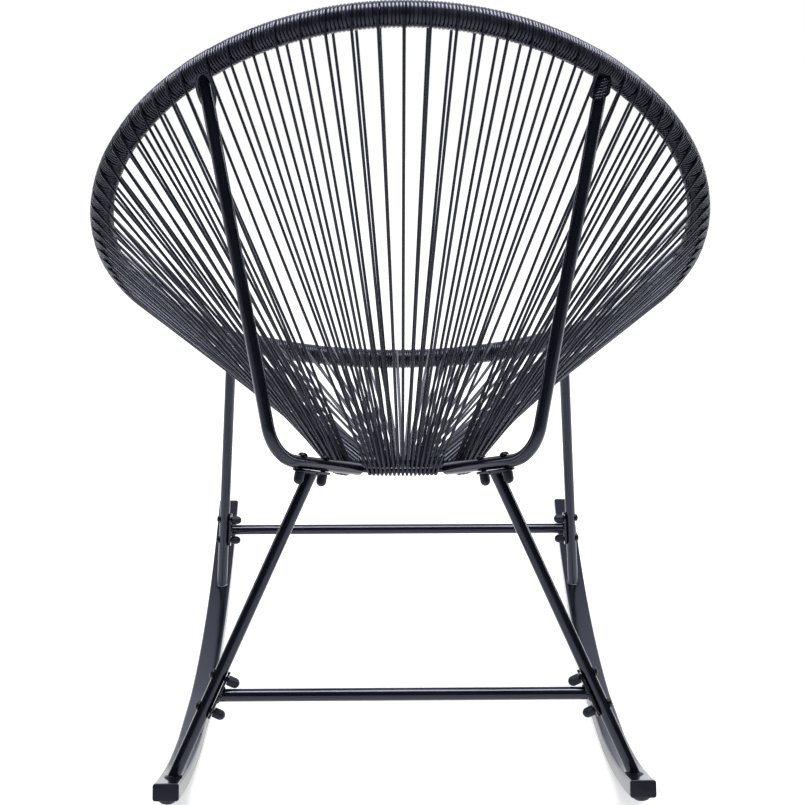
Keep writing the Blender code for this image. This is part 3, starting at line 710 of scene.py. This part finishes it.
def bolt(tube_width):
    grip = tube_width + PLATE_THICK + 3 * GAP + THREAD
    dome = []
    for turn in np.linspace(FLAT_TOP, math.pi / 2, 6):
        dome.append((HEAD * math.sin(turn), -HEAD_HEIGHT * math.cos(turn) / math.cos(FLAT_TOP)))
    sunk = [(0.0, SOCKET_DEPTH - HEAD_HEIGHT), (SOCKET, SOCKET_DEPTH - HEAD_HEIGHT), (SOCKET, -HEAD_HEIGHT)]
    shape = turned(sunk + dome + [(SHANK, 0.0), (SHANK, grip), (0.0, grip)], 36)
    for corner in shape.verts:
        if corner.co.z < -HEAD_HEIGHT * 0.4 and abs(corner.co.xy.length - SOCKET) < 1e-6:
            turn = math.atan2(corner.co.y, corner.co.x) % (math.pi / 3) - math.pi / 6
            corner.co.xy = corner.co.xy * (SOCKET_FLATS / math.cos(turn))
    return shape


def cap_nut():
    straight = CAP_HEIGHT - CAP
    dome = [(CAP * math.sin(t), straight + CAP * math.cos(t)) for t in np.linspace(0, math.pi / 2, 9)]
    bore = [(SHANK + GAP, 0.0), (SHANK + GAP, CAP_BORE), (0.0, CAP_BORE)]
    return turned(dome + [(CAP, CAP_CHAMFER), (CAP - CAP_CHAMFER, 0.0)] + bore, 32)


for name, point, direction, along, width in bolts:
    shape = bolt(width)
    lay = placed(point - direction * (width / 2 + GAP), direction, along)
    bmesh.ops.transform(shape, matrix=lay, verts=shape.verts)
    to_piece(shape, "button_bolt_" + name, black_oxide, ["bolt_" + name])
    shape = cap_nut()
    lay = placed(point + direction * (width / 2 + PLATE_THICK + 2 * GAP), direction, along)
    bmesh.ops.transform(shape, matrix=lay, verts=shape.verts)
    to_piece(shape, "domed_nut_" + name, moulded_pp, ["cap_nut_" + name])
print("bolts:", len(bolts), "cap nuts:", len(bolts))

# %% [markdown]
# ## Where the strings go
# From the hoop the string runs down outside the seat to the ring, passes under it, comes up inside, crosses
# over the hoop and is then wound about six turns before the next spoke. The spokes fall into four sections,
# between the tubes that meet the hoop. Each spoke has a slot on the hoop and a place on the ring. The ring's
# places are even along its inner side, where the strings lie closest.

# %% Slots on the hoop and places on the ring
BACK_LOOPS, SIDE_LOOPS, FRONT_LOOPS = 17, 29, 19
BACK_PITCH, FRONT_PITCH = 0.00475, 0.0031
NEAR_TUBE, NEAR_SADDLE, NEAR_ARM = 0.017, 0.008, 0.013
SIDE_SPREAD = 0.1
chance = random.Random(11)
saddle_half = SADDLE_LENGTH / 2 + 5 * GAP
shoulder_at = hoop_length(SHOULDER)
saddle_at = hoop_length(FRONT_LEG)
RING_WRAP = RING_ROD / 2 + STRING / 2 + GAP / 2
ring_angles = np.linspace(0, 2 * math.pi, 3601)
ring_inside = [ring_frame(angle)[0] - ring_frame(angle)[1] * RING_WRAP for angle in ring_angles]
ring_lengths = np.concatenate([[0.0], np.cumsum(np.linalg.norm(np.diff(ring_inside, axis=0), axis=1))])
RING_ROUND = float(ring_lengths[-1])


def ring_places(middle, count, pitch):
    """Angles of evenly spaced places on the ring, about a middle length along its inner side."""
    wanted = [(middle + (index - (count - 1) / 2) * pitch) % RING_ROUND for index in range(count)]
    return [float(angle) for angle in np.interp(wanted, ring_lengths, ring_angles)]


def slots(first, last, count, spread=0.0):
    """Even slots, or slots that lie closer near the first and wider apart near the last."""
    parts = [index / (count - 1) for index in range(count)]
    return [first + (last - first) * (part - spread * part * (1 - part)) for part in parts]


arm_at = float(np.interp(RING_ARM, ring_angles, ring_lengths))
side_start = arm_at + NEAR_ARM
side_end = RING_ROUND / 2 - FRONT_LOOPS / 2 * FRONT_PITCH
side_middle = (side_start + side_end) / 2
side_pitch = (side_end - side_start) / SIDE_LOOPS
side_stop = saddle_at - saddle_half
front_start = saddle_at + saddle_half
front_stop = HOOP_ROUND - front_start
left_slots = slots(shoulder_at + NEAR_TUBE, side_stop - NEAR_SADDLE, SIDE_LOOPS, SIDE_SPREAD)
left_places = ring_places(side_middle, SIDE_LOOPS, side_pitch)
spokes = {
    "back": (
        slots(NEAR_TUBE - shoulder_at, shoulder_at - NEAR_TUBE, BACK_LOOPS),
        ring_places(0, BACK_LOOPS, BACK_PITCH),
    ),
    "left": (left_slots, left_places),
    "front": (
        slots(front_start + NEAR_SADDLE, front_stop - NEAR_SADDLE, FRONT_LOOPS),
        ring_places(RING_ROUND / 2, FRONT_LOOPS, FRONT_PITCH),
    ),
    "right": (
        [HOOP_ROUND - slot for slot in reversed(left_slots)],
        [2 * math.pi - angle for angle in reversed(left_places)],
    ),
}
limits = {
    "back": (-shoulder_at, shoulder_at),
    "left": (shoulder_at, side_stop),
    "front": (front_start, front_stop),
    "right": (HOOP_ROUND - side_stop, HOOP_ROUND - shoulder_at),
}
print("loops:", {name: len(slot_list) for name, (slot_list, places) in spokes.items()})
print(f"at the ring the side strings are {side_pitch * 1000:.2f} mm apart")

# %% [markdown]
# ## Spokes
# On the hoop a spoke starts in its slot, down on the tube. Halfway round it drifts along the hoop, climbs on
# to the turns beside the slot and crosses them. That is why the spokes lie slanting over the winding on the
# chair's sides, and leave a dark gap behind them. The whole winding leans a little, so that its outer side
# is further from the middle of the back. Each loop is one closed line of points for a swept curve: under the
# ring, up inside, over the hoop and down outside. A pulled string is almost straight, so each length only
# sags and strays by a millimetre or two. At the ring every second loop lies a little further out, because
# the strings are crowded there. The spokes are drawn 3.5 mm thick, because light from both sides makes a
# dark strand look thinner than it is.

# %% Lay the spokes
LOW = HOOP_TUBE / 2 + STRING / 2 + GAP / 2
HIGH = LOW + STRING * 0.95
LEAN, LEAN_RUN = 0.0027, 0.1
CLIMB_FROM = 0.1
STRAY, SAG = 0.0008, Vector((0, 0, -0.0012))


def eased(value):
    """From 0 to 1 with soft ends."""
    value = max(0.0, min(1.0, value))
    return value * value * (3 - 2 * value)


def leaning(length):
    """How far the winding's outer side lies ahead along the hoop: none at the middle of back and front."""
    place = (length + HOOP_ROUND / 2) % HOOP_ROUND - HOOP_ROUND / 2
    apart = min(abs(place), HOOP_ROUND / 2 - abs(place))
    return math.copysign(LEAN * eased(apart / LEAN_RUN), place)


def under_ring(angle, towards, wrap, points=9):
    """Half a turn round the ring's rod, from its outside by way of its far side."""
    point, outward, up = ring_frame(angle)
    away = (towards - point).normalized()
    lean = math.atan2(away.dot(outward), away.dot(up))
    outer = outward * math.cos(lean) - up * math.sin(lean)
    far = -outward * math.sin(lean) - up * math.cos(lean)
    turns = [math.pi * index / (points - 1) for index in range(points)]
    return [point + (outer * math.cos(turn) + far * math.sin(turn)) * wrap for turn in turns]


def over_hoop(slot, target, face, points=9):
    """From the slot to where the string leaves for its target; face is 1 outside and -1 inside the seat."""
    centre, way = hoop_at(slot)
    pull = target - centre
    slant = pull.dot(way) / (pull - way * pull.dot(way)).length
    drift = slant * HIGH * math.pi / 6
    line = []
    for index in range(points):
        turn = math.pi / 2 * index / (points - 1)
        moved = drift * (index / (points - 1)) ** 3
        centre, way = hoop_at(slot + moved + face * leaning(slot) * math.sin(turn))
        near = square_to(target - centre, way)
        climb = LOW + (HIGH - LOW) * eased(abs(moved) / STRING - CLIMB_FROM)
        line.append(centre + (way.cross(near) * face * math.sin(turn) - near * math.cos(turn)) * climb)
    return line


def pulled(start, end, points=5):
    """Points between two ends of a tight string, with a slight sag and a slight stray to one side."""
    way = (end - start).normalized()
    aside = way.orthogonal().normalized()
    stray = aside * chance.uniform(-STRAY, STRAY) + way.cross(aside) * chance.uniform(-STRAY, STRAY)
    line = []
    for index in range(1, points + 1):
        part = index / (points + 1)
        line.append(start.lerp(end, part) + (stray + SAG) * math.sin(math.pi * part))
    return line


def loop_line(slot, angle, wrap):
    """One loop of string: under the ring, up inside the seat, over the hoop and down outside."""
    ring = under_ring(angle, hoop_at(slot)[0], wrap)
    inside = over_hoop(slot, ring[-1], -1)
    outside = over_hoop(slot, ring[0], 1)
    return ring + pulled(ring[-1], inside[-1]) + inside[:0:-1] + outside + pulled(outside[-1], ring[0])


def add_tones(mesh, tones, each):
    """One number for each length of string, repeated for all its corners."""
    mesh.attributes.new("length_tone", "FLOAT", "POINT").data.foreach_set("value", np.repeat(tones, each))


for name, (slot_list, places) in spokes.items():
    lines = []
    crowded = 0.0 if name == "back" else STRING / 2
    for index, (slot, angle) in enumerate(zip(slot_list, places)):
        lines.append(loop_line(slot, angle, RING_WRAP + index % 2 * crowded))
    mesh = swept("spokes", lines, SPOKE_RADIUS, 2, True)
    add_tones(mesh, [chance.random() for line in lines], len(mesh.vertices) // len(lines))
    piece = mesh_to_piece(mesh, "string_spokes_" + name, string_pvc, ["strings_" + name], 60)
    steps = [step for line in lines for step in zip(line, line[1:] + line[:1])]
    metres = sum((after - before).length for before, after in steps)
    print(piece.name, len(lines), "loops,", round(metres, 1), "m of string,", len(mesh.polygons), "faces")

# %% [markdown]
# ## Turns round the hoop
# Between two slots the string is wound round the tube, turn against turn on the sides and a little open at
# the middle of the back. Spin makes one turn, a thin ring, and every other turn is a copy set at its own
# place on the hoop, leaning by the string's advance. The string is soft, so a turn with room beside it lies a
# little flatter and wider. Towards the ring, where the spoke has left its slot, the turns close up, so the
# slot shows as a dark wedge. Near a back tube the turns are pushed aside to pass it, and a few more go round
# the top of that tube and hang down behind it. A turn has few faces, because it is copied hundreds of times.

# %% One turn
TURN_STEPS, FINE_STEPS = 12, 24


def spun_turn(name, steps):
    """A ring whose section is round outside and flat against the tube, where nobody sees it."""
    shape = bmesh.new()
    half = STRING / 2
    arc = [(half * math.cos(turn), half * math.sin(turn)) for turn in np.radians([-75, -25, 25, 75])]
    section = [shape.verts.new((LOW + x, 0, z)) for x, z in arc + [(-half, half), (-half, -half)]]
    edges = [shape.edges.new(pair) for pair in zip(section, section[1:] + section[:1])]
    spin_round(shape, section + edges, (0, 0, 0), (0, 0, 1), steps)
    bmesh.ops.recalc_face_normals(shape, faces=shape.faces)
    return to_mesh(shape, name)


one_turn = spun_turn("one_turn", TURN_STEPS)
fine_turn = spun_turn("fine_turn", FINE_STEPS)
print("one turn:", len(one_turn.polygons), "faces, beside a tube:", len(fine_turn.polygons))

# %% Where the turns lie
TIGHT_PITCH, ADDED_PITCH, OPEN_RUN = 0.00335, 0.00105, 0.24
END_TUCK, FILL, ROUND_UP = 0.0004, 0.9, 0.65


def open_share(length):
    """How open the winding is: 1 at the middle of the back, 0 on the sides and in front."""
    away = min(length % HOOP_ROUND, HOOP_ROUND - length % HOOP_ROUND)
    return 1 - eased(away / OPEN_RUN)


def turn_places(slot_list, start, end):
    """For each turn its place, the room that it has, and how far it moves to close up towards the ring."""
    stops = [start - STRING / 2 + END_TUCK] + list(slot_list) + [end + STRING / 2 - END_TUCK]
    places = []
    for group, (first, last) in enumerate(zip(stops, stops[1:])):
        room = last - first - STRING
        openness = open_share((first + last) / 2)
        count = max(1, math.floor(room / (TIGHT_PITCH + ADDED_PITCH * openness) + ROUND_UP))
        wide = (room + FILL * STRING * openness) / count
        for index in range(count):
            part = (index + 0.5) / count
            back = 0.0 if group == 0 else 1 - part
            ahead = 0.0 if group == len(slot_list) else part
            places.append((first + STRING / 2 + room * part, wide, STRING / 2 * (ahead - back)))
    return places


winding = {name: turn_places(spokes[name][0], *limits[name]) for name in spokes}
print("turns:", {name: len(places) for name, places in winding.items()})

# %% Wind the hoop
PUSHED, PART_FROM, PART_OVER = 0.016, 0.62, 0.2
CLEAR = TUBE / 2 + STRING / 2 + GAP
CLOSE_FROM, CLOSE_OVER = -0.3, 1.2
LEAN_LEAST, LEAN_MOST = 0.6, 1.4
LOOSE, LOOSER = 1.015, 0.012
NARROWEST, WIDEST, NEARLY_FULL = 0.95, 1.34, 0.97


def copied(shape, mesh):
    """Copies a turn into a bmesh and gives its corners."""
    before = len(shape.verts)
    shape.from_mesh(mesh)
    shape.verts.ensure_lookup_table()
    return shape.verts[before:]


def from_post(length, side):
    """How far a place on the hoop is from a back tube, along the hoop."""
    return (length - side * shoulder_at + HOOP_ROUND / 2) % HOOP_ROUND - HOOP_ROUND / 2


def set_turn(shape, length, room, closing):
    """Lays one turn on the hoop, closes it up towards the ring and pushes it aside at a back tube."""
    beside = min(abs(from_post(length, 1)), abs(from_post(length, -1))) < PUSHED
    turn = copied(shape, fine_turn if beside else one_turn)
    centre, way = hoop_at(length)
    lean = math.atan2(STRING, 2 * math.pi * LOW) * chance.uniform(LEAN_LEAST, LEAN_MOST)
    lay = placed(centre, way, Vector((0, 0, 1)))
    lay = lay @ Matrix.Rotation(lean, 4, "X") @ Matrix.Scale(LOOSE + chance.uniform(0, LOOSER), 4)
    wide = min(WIDEST, max(NARROWEST, NEARLY_FULL * room / STRING))
    bmesh.ops.transform(shape, matrix=lay @ Matrix.Scale(wide, 4, (0, 0, 1)), verts=turn)
    near = square_to(RING_CENTRE - centre, way)
    for corner in turn:
        spoke = (corner.co - centre).normalized()
        ahead = leaning(length) * spoke.dot(way.cross(near))
        ahead += closing * eased((spoke.dot(near) - CLOSE_FROM) / CLOSE_OVER)
        corner.co += way * ahead
    for side in (1, -1):
        off = from_post(length, side)
        if abs(off) < PUSHED:
            tube_way = tube_top(side)[1]
            wanted = CLEAR + max(0.0, abs(off) - STRING / 2) * (PUSHED - CLEAR) / PUSHED
            shift = math.copysign(max(0.0, wanted - abs(off)), off)
            for corner in turn:
                facing = (corner.co - centre).normalized().dot(tube_way)
                corner.co += way * shift * eased((facing - PART_FROM) / PART_OVER)
    return len(turn)


# Side, slope to the rear, slope aside, distance of the first turn from the hoop's centre, number of turns
COLLARS = {"left": (1, -2.2, 0.0, 0.0165, 3), "right": (-1, 0.7, 0.4, 0.0075, 7)}


def collar(shape, side, slope, aside, first, count):
    """Turns round the top of a back tube, lower on its rear by slope and on one side by aside."""
    shoulder, down = tube_top(side)
    snug = LOW - (TUBE + STRING + GAP) / 2
    for index in range(count):
        turn = copied(shape, fine_turn)
        for corner in turn:
            corner.co.xy -= corner.co.xy.normalized() * snug
            corner.co.z += slope * corner.co.x + aside * corner.co.y
        place = placed(shoulder + down * (first + index * STRING), down, Vector((0, 1, 0)))
        bmesh.ops.transform(shape, matrix=place, verts=turn)


for name, turns in winding.items():
    shape = bmesh.new()
    each = [set_turn(shape, *turn) for turn in turns]
    if name in COLLARS:
        collar(shape, *COLLARS[name])
        each += [len(fine_turn.vertices)] * COLLARS[name][-1]
    mesh = to_mesh(shape, "turns_" + name)
    add_tones(mesh, [chance.random() for turn in each], each)
    piece = mesh_to_piece(mesh, "hoop_turns_" + name, string_pvc, ["rim_winding_" + name], 60)
    metres = len(turns) * 2 * math.pi * LOW
    print(piece.name, len(each), "turns,", round(metres, 1), "m of string,", len(mesh.polygons), "faces")

# %% [markdown]
# ## Floor and light
# A studio has a white sweep behind the object and is dark behind the camera, so black tubes show light edges
# and a dark middle. The world gives that in two parts. The camera sees white all round. Reflections and soft
# light see a sweep that is white behind the chair, dark beside it and almost black on the photographer's
# side. The floor is a wide pale matt sheet. For the camera it also glows, enough to reach white in the light
# and to keep a pale shadow, and for reflections it glows most behind the chair. So the outer sides of the
# back tubes, which face the floor, are lighter than the inner ones, and each turn of string shows a light
# line between dark gaps. A wide lamp overhead gives the bright dashes along the top of the hoop, and a strip
# on each side gives the tubes their edges.

# %% World
world = bpy.data.worlds.new("studio")
bpy.context.scene.world = world
world.use_nodes = True
tree = world.node_tree
tree.nodes.clear()
ray = add_node(tree, "ShaderNodeLightPath")
direction = add_node(tree, "ShaderNodeTexCoord").outputs["Generated"]
parts = add_node(tree, "ShaderNodeSeparateXYZ", {}, {"Vector": direction})
# Bright towards the sweep behind the chair, dark towards the photographer and to either side
sweep = remap(tree, parts.outputs["Y"], -0.6, 0.25, 1.0, 0.06)
sheet = remap(tree, maths(tree, "ABSOLUTE", parts.outputs["X"]), 0.5, 0.85, 1.0, 0.12)
pale = maths(tree, "MULTIPLY", sweep, sheet)
soft = add_node(tree, "ShaderNodeBackground", {"Color": linear("#E6EAF8")}, {"Strength": pale})
white = add_node(tree, "ShaderNodeBackground", {"Color": (1, 1, 1, 1), "Strength": 1.0})
seen = maths(tree, "MAXIMUM", ray.outputs["Is Camera Ray"], ray.outputs["Is Transmission Ray"])
both = add_node(
    tree, "ShaderNodeMixShader", {},
    {0: seen, 1: soft.outputs["Background"], 2: white.outputs["Background"]},
)
add_node(tree, "ShaderNodeOutputWorld", {}, {"Surface": both.outputs["Shader"]})
print("world:", world.name)

# %% Floor
FLOOR = 24
shape = bmesh.new()
bmesh.ops.create_grid(shape, x_segments=1, y_segments=1, size=FLOOR / 2)
floor = bpy.data.objects.new("floor", to_mesh(shape, "floor"))
bpy.context.scene.collection.objects.link(floor)
pale_sheet, tree = blank("pale_studio_sheet")
place = add_node(tree, "ShaderNodeTexCoord").outputs["Object"]
away = add_node(tree, "ShaderNodeVectorMath", {"operation": "LENGTH"}, {0: place})
parts = add_node(tree, "ShaderNodeSeparateXYZ", {}, {"Vector": place})
# Less glow under the chair, for its shadow, and more behind it, for reflections
around = remap(tree, away.outputs["Value"], 0.5, 1.0, 0.6, 1.0, "SMOOTHSTEP")
behind = remap(tree, parts.outputs["Y"], 0.8, -0.8, 0.3, 1.0, "SMOOTHSTEP")
ray = add_node(tree, "ShaderNodeLightPath")
to_camera = maths(tree, "MULTIPLY", around, ray.outputs["Is Camera Ray"])
to_gloss = maths(tree, "MULTIPLY", behind, ray.outputs["Is Glossy Ray"])
glow = maths(tree, "ADD", to_camera, to_gloss)
matt = add_node(tree, "ShaderNodeBsdfDiffuse", {"Color": linear("#D0D0D0")})
bright = add_node(tree, "ShaderNodeEmission", {"Color": (1, 1, 1, 1)}, {"Strength": glow})
both = add_node(tree, "ShaderNodeAddShader", {}, {0: matt.outputs["BSDF"], 1: bright.outputs["Emission"]})
add_node(tree, "ShaderNodeOutputMaterial", {}, {"Surface": both.outputs["Shader"]})
floor.data.materials.append(pale_sheet)
print("floor:", FLOOR, "m square")


# %% Lamps
def lamp(name, place, target, size, power):
    """A rectangular lamp that faces a target; sizes in metres, power in watts."""
    data = bpy.data.lights.new(name, "AREA")
    data.shape = "RECTANGLE"
    data.size, data.size_y = size
    data.energy = power
    light = bpy.data.objects.new(name, data)
    light.location = place
    light.rotation_euler = (Vector(target) - Vector(place)).to_track_quat("-Z", "Y").to_euler()
    bpy.context.scene.collection.objects.link(light)


lamp("overhead", (0.0, 0.4, 2.5), (0.0, 0.15, 0.5), (1.7, 1.2), 84)
lamp("left_strip", (1.9, -0.3, 1.2), (0.0, 0.0, 0.5), (0.3, 1.4), 5)
lamp("right_strip", (-1.9, -0.5, 1.2), (0.0, 0.0, 0.5), (0.3, 1.4), 14)
print("lamps: 3")

# %% [markdown]
# ## Camera
# The photograph looks at the chair's back from a little above the hoop's middle, through a lens that is long
# for its square frame.

# %% Camera
PICTURE_PIXELS, FOCAL_PIXELS = 805, 1550
lens = bpy.data.cameras.new("photograph")
lens.sensor_width = 36
lens.lens = lens.sensor_width * FOCAL_PIXELS / PICTURE_PIXELS
camera = bpy.data.objects.new("photograph", lens)
camera.location = (0.0289, 2.033, 0.870)
camera.rotation_euler = (math.radians(77.5), 0, math.radians(179.087))
bpy.context.scene.collection.objects.link(camera)
bpy.context.scene.camera = camera
bpy.context.scene.view_settings.view_transform = "Standard"
print("lens:", round(lens.lens, 1), "mm")
